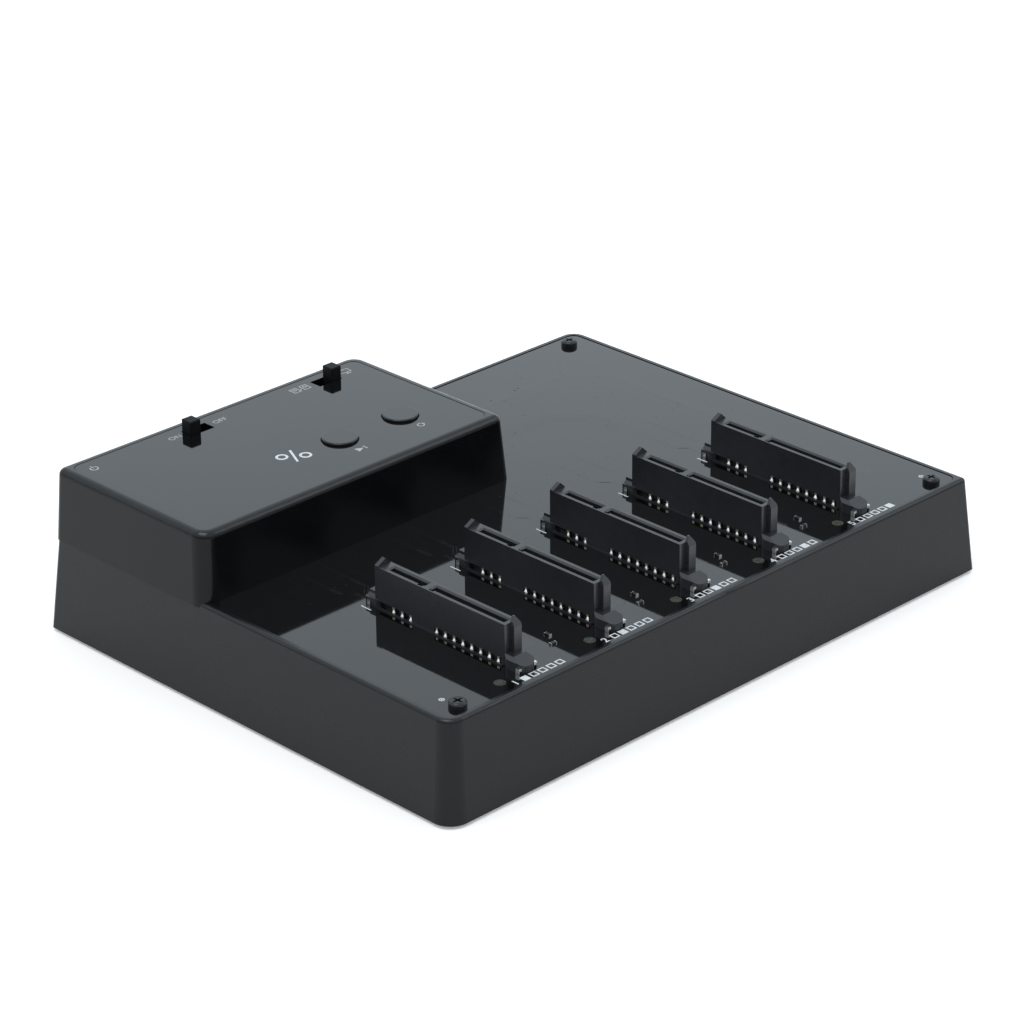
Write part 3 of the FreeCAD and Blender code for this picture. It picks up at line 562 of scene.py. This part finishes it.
# ------------------------------------------------------------------ print on the board
for i, xc in enumerate(XCS):
    bm = bmesh.new()
    y0 = -58.25
    glyphs(bm, str(i + 1), xc - 5.9, y0, 1.9, zb0, zb1, bold=0.02)
    for k in range(5):
        x = xc - 3.4 + 2.42 * k
        if k == i:
            slab(bm, rect(x, y0, x + 1.75, y0 + 1.75), zb0, zb1)
        else:
            frame_rect(bm, x, y0, x + 1.75, y0 + 1.75, 0.32, zb0, zb1)
    # foot mark of the socket's rear end
    slab(bm, rect(xc - 3.95, -14.0, xc - 3.65, -11.0), zb0, zb1)
    slab(bm, rect(xc + 3.65, -14.0, xc + 3.95, -11.0), zb0, zb1)
    make("bay_print_%d" % (i + 1), bm, "print")
bm = bmesh.new()
for x, y in ((-72.75, -52.05), (72.65, -52.75), (74.6, 56.3)):
    ring(bm, x, y, 0.40, 0.62, zb0, zb1)
    disc(bm, x, y, 0.22, zb0, zb1)
make("screw_marks", bm, "print")

# ------------------------------------------------------------------ print on the overlay
bm = bmesh.new()
ring(bm, -72.55, 54.35, 0.72, 1.0, zt0, zt1, 125, 415)
bar(bm, -72.55, 54.5, -72.55, 55.75, 0.26, zt0, zt1)
make("print_power_sign", bm, "print_soft")
bm = bmesh.new()
glyphs(bm, "ON", -52.0, 53.6, 1.5, zt0, zt1)
glyphs(bm, "OFF", -39.5, 53.6, 1.5, zt0, zt1)
make("print_on_off", bm, "print_soft")
bm = bmesh.new()
# two drives: copy
for dx in (0.0, 2.9):
    frame_rect(bm, -16.3 + dx, 53.5, -14.3 + dx, 55.9, 0.22, zt0, zt1)
    ring(bm, -15.3 + dx, 54.9, 0.28, 0.5, zt0, zt1)
slab(bm, [(-14.15, 54.4), (-13.75, 54.15), (-13.75, 54.65)], zt0, zt1)
# screen on a stand
frame_rect(bm, -1.7, 54.2, 1.2, 56.0, 0.22, zt0, zt1)
bar(bm, -0.25, 54.2, -0.25, 53.7, 0.3, zt0, zt1)
bar(bm, -1.0, 53.6, 0.5, 53.6, 0.24, zt0, zt1)
make("print_mode_signs", bm, "print_soft")
bm = bmesh.new()
slab(bm, [(-27.3, 20.4), (-25.4, 21.35), (-27.3, 22.3)], zt0, zt1)
bar(bm, -24.9, 20.5, -24.9, 22.2, 0.26, zt0, zt1)
ring(bm, -8.5, 21.3, 0.62, 0.88, zt0, zt1, 40, 340)
slab(bm, [(-7.95, 21.15), (-7.2, 21.3), (-7.85, 21.95)], zt0, zt1)
make("print_button_signs", bm, "print_soft")
bm = bmesh.new()
ring(bm, -40.9, 30.2, 0.85, 1.42, zt0, zt1, seg=36)
ring(bm, -36.6, 27.4, 0.85, 1.42, zt0, zt1, seg=36)
bar(bm, -40.0, 26.1, -37.4, 31.6, 0.52, zt0, zt1)
make("print_percent", bm, "print")


# ------------------------------------------------------------------ relief of the board
zr0, zr1 = Z_BOARD - 0.01, Z_BOARD + 0.009
bm = bmesh.new()
for i, xc in enumerate(XCS):
    # two signal pairs from each socket to the back
    for k, (dx, sx) in enumerate(((-0.55, -1), (0.0, -1), (1.2, 1), (1.75, 1))):
        x = xc + dx - 0.6
        y_end = 8.5 + 1.2 * k + (0 if xc > 12 else -1.5)
        path_strip(bm, [(x, -10.2), (x, -6.0 - 0.5 * k), (x + sx * 2.2, -3.8 - 0.5 * k), (x + sx * 2.2, y_end)], 0.26, zr0, zr1, 0.04)
    # power pours beside the socket
    slab(bm, [(xc + 4.4, -49.0), (xc + 9.2, -49.0), (xc + 10.2, -48.0), (xc + 10.2, -31.5), (xc + 9.2, -30.5), (xc + 4.4, -30.5)], zr0, zr1, 0.05)
# wide run along the right side and the back
path_strip(bm, [(20.0, 44.0), (58.0, 44.0), (66.0, 36.0), (66.0, -44.0)], 3.0, zr0, zr1, 0.05)
path_strip(bm, [(20.0, 39.0), (52.0, 39.0), (60.5, 30.5), (60.5, -8.0)], 0.5, zr0, zr1, 0.05)
for k in range(6):
    path_strip(bm, [(14.0 + 0.7 * k, 30.0 - 0.7 * k), (38.0 - 0.29 * k, 30.0 - 0.7 * k), (46.0 - 0.7 * k, 22.0 - 0.29 * k), (46.0 - 0.7 * k, 12.5)], 0.26, zr0, zr1, 0.04)
make("board_relief", bm, "relief")

bm = bmesh.new()
for _ in range(46):
    x, y = random.uniform(12, 72), random.uniform(-5, 52)
    ring(bm, x, y, 0.10, 0.22, zr0, zr1, seg=10)
    disc(bm, x, y, 0.11, zr0, Z_BOARD + 0.004, seg=8)
for _ in range(18):
    x, y = random.uniform(-68, 8), random.uniform(-4, 9)
    ring(bm, x, y, 0.10, 0.22, zr0, zr1, seg=10)
    disc(bm, x, y, 0.11, zr0, Z_BOARD + 0.004, seg=8)
make("board_vias", bm, "via")

# ------------------------------------------------------------------ solder at the near contact tails
for i, xc in enumerate(XCS):
    bm = bmesh.new()
    ys = [-18.42 - 2.54 * k for k in range(3)] + [-31.12 - 2.54 * k for k in range(8)]
    for k, y in enumerate(ys):
        w = 0.03 * ((k * 7 + i * 3) % 5 - 2)
        n = 14
        rings = []
        for r, z, dx in ((0.50, 0.27, 0.0), (0.46, 0.40, 0.0), (0.34, 0.60, 0.02), (0.24, 0.84, 0.05), (0.12, 1.00, 0.06)):
            rings.append([bm.verts.new(((xc - 1.5 + dx + (r + w * 0.5) * math.cos(2 * math.pi * t / n)) * MM,
                                        (y + (r + w * 0.5) * math.sin(2 * math.pi * t / n)) * MM, (Z_BOARD + z + w * 0.3) * MM)) for t in range(n)])
        for a_, b_ in zip(rings, rings[1:]):
            for t in range(n):
                bm.faces.new((a_[t], a_[(t + 1) % n], b_[(t + 1) % n], b_[t]))
        bm.faces.new(rings[0][::-1])
        bm.faces.new(rings[-1])
    make("solder_row_%d" % (i + 1), bm, "solder", smooth=True)

# ------------------------------------------------------------------ chips beside the sockets
def chip(bm_body, bm_ends, x, y, along_x):
    l, w, h = (0.8, 0.4, 0.42)
    e = 0.22
    if along_x:
        slab(bm_body, rect(x - l + e, y - w, x + l - e, y + w), Z_BOARD + 0.03, Z_BOARD + h, 0.03)
        for s in (-1, 1):
            x0, x1 = sorted((x + s * (l - e), x + s * l))
            slab(bm_ends, rect(x0, y - w - 0.01, x1, y + w + 0.01), Z_BOARD, Z_BOARD + h + 0.02, 0.04)
    else:
        slab(bm_body, rect(x - w, y - l + e, x + w, y + l - e), Z_BOARD + 0.03, Z_BOARD + h, 0.03)
        for s in (-1, 1):
            y0, y1 = sorted((y + s * (l - e), y + s * l))
            slab(bm_ends, rect(x - w - 0.01, y0, x + w + 0.01, y1), Z_BOARD, Z_BOARD + h + 0.02, 0.04)


b1, b2 = bmesh.new(), bmesh.new()
for xc in XCS[:4]:
    chip(b1, b2, xc + 11.6, -51.0, True)
    chip(b1, b2, xc + 13.6, -47.6, False)
body = make("bay_chip_bodies", b1, "ceramic")
ends = make("bay_chip_ends", b2, "tin")
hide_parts("bay_resistors")

# ------------------------------------------------------------------ floor
bm = bmesh.new()
bmesh.ops.create_grid(bm, x_segments=8, y_segments=8, size=6.0)
me = bpy.data.meshes.new("floor")
bm.to_mesh(me)
bm.free()
floor = bpy.data.objects.new("floor", me)
scene.collection.objects.link(floor)
fm = Mat("floor_paper", IOR=1.3, Specular_IOR_Level=0.1, Emission_Color=(1.0, 1.0, 1.0, 1.0), Emission_Strength=0.22)
fm.color(fm.ramp(fm.noise(6.0, 3.0), [(0.3, (0.925, 0.895, 0.868)), (0.7, (0.940, 0.910, 0.883))]))
fm.rough(fm.span(fm.noise(40.0), 0.75, 0.9))
me.materials.append(fm.m)
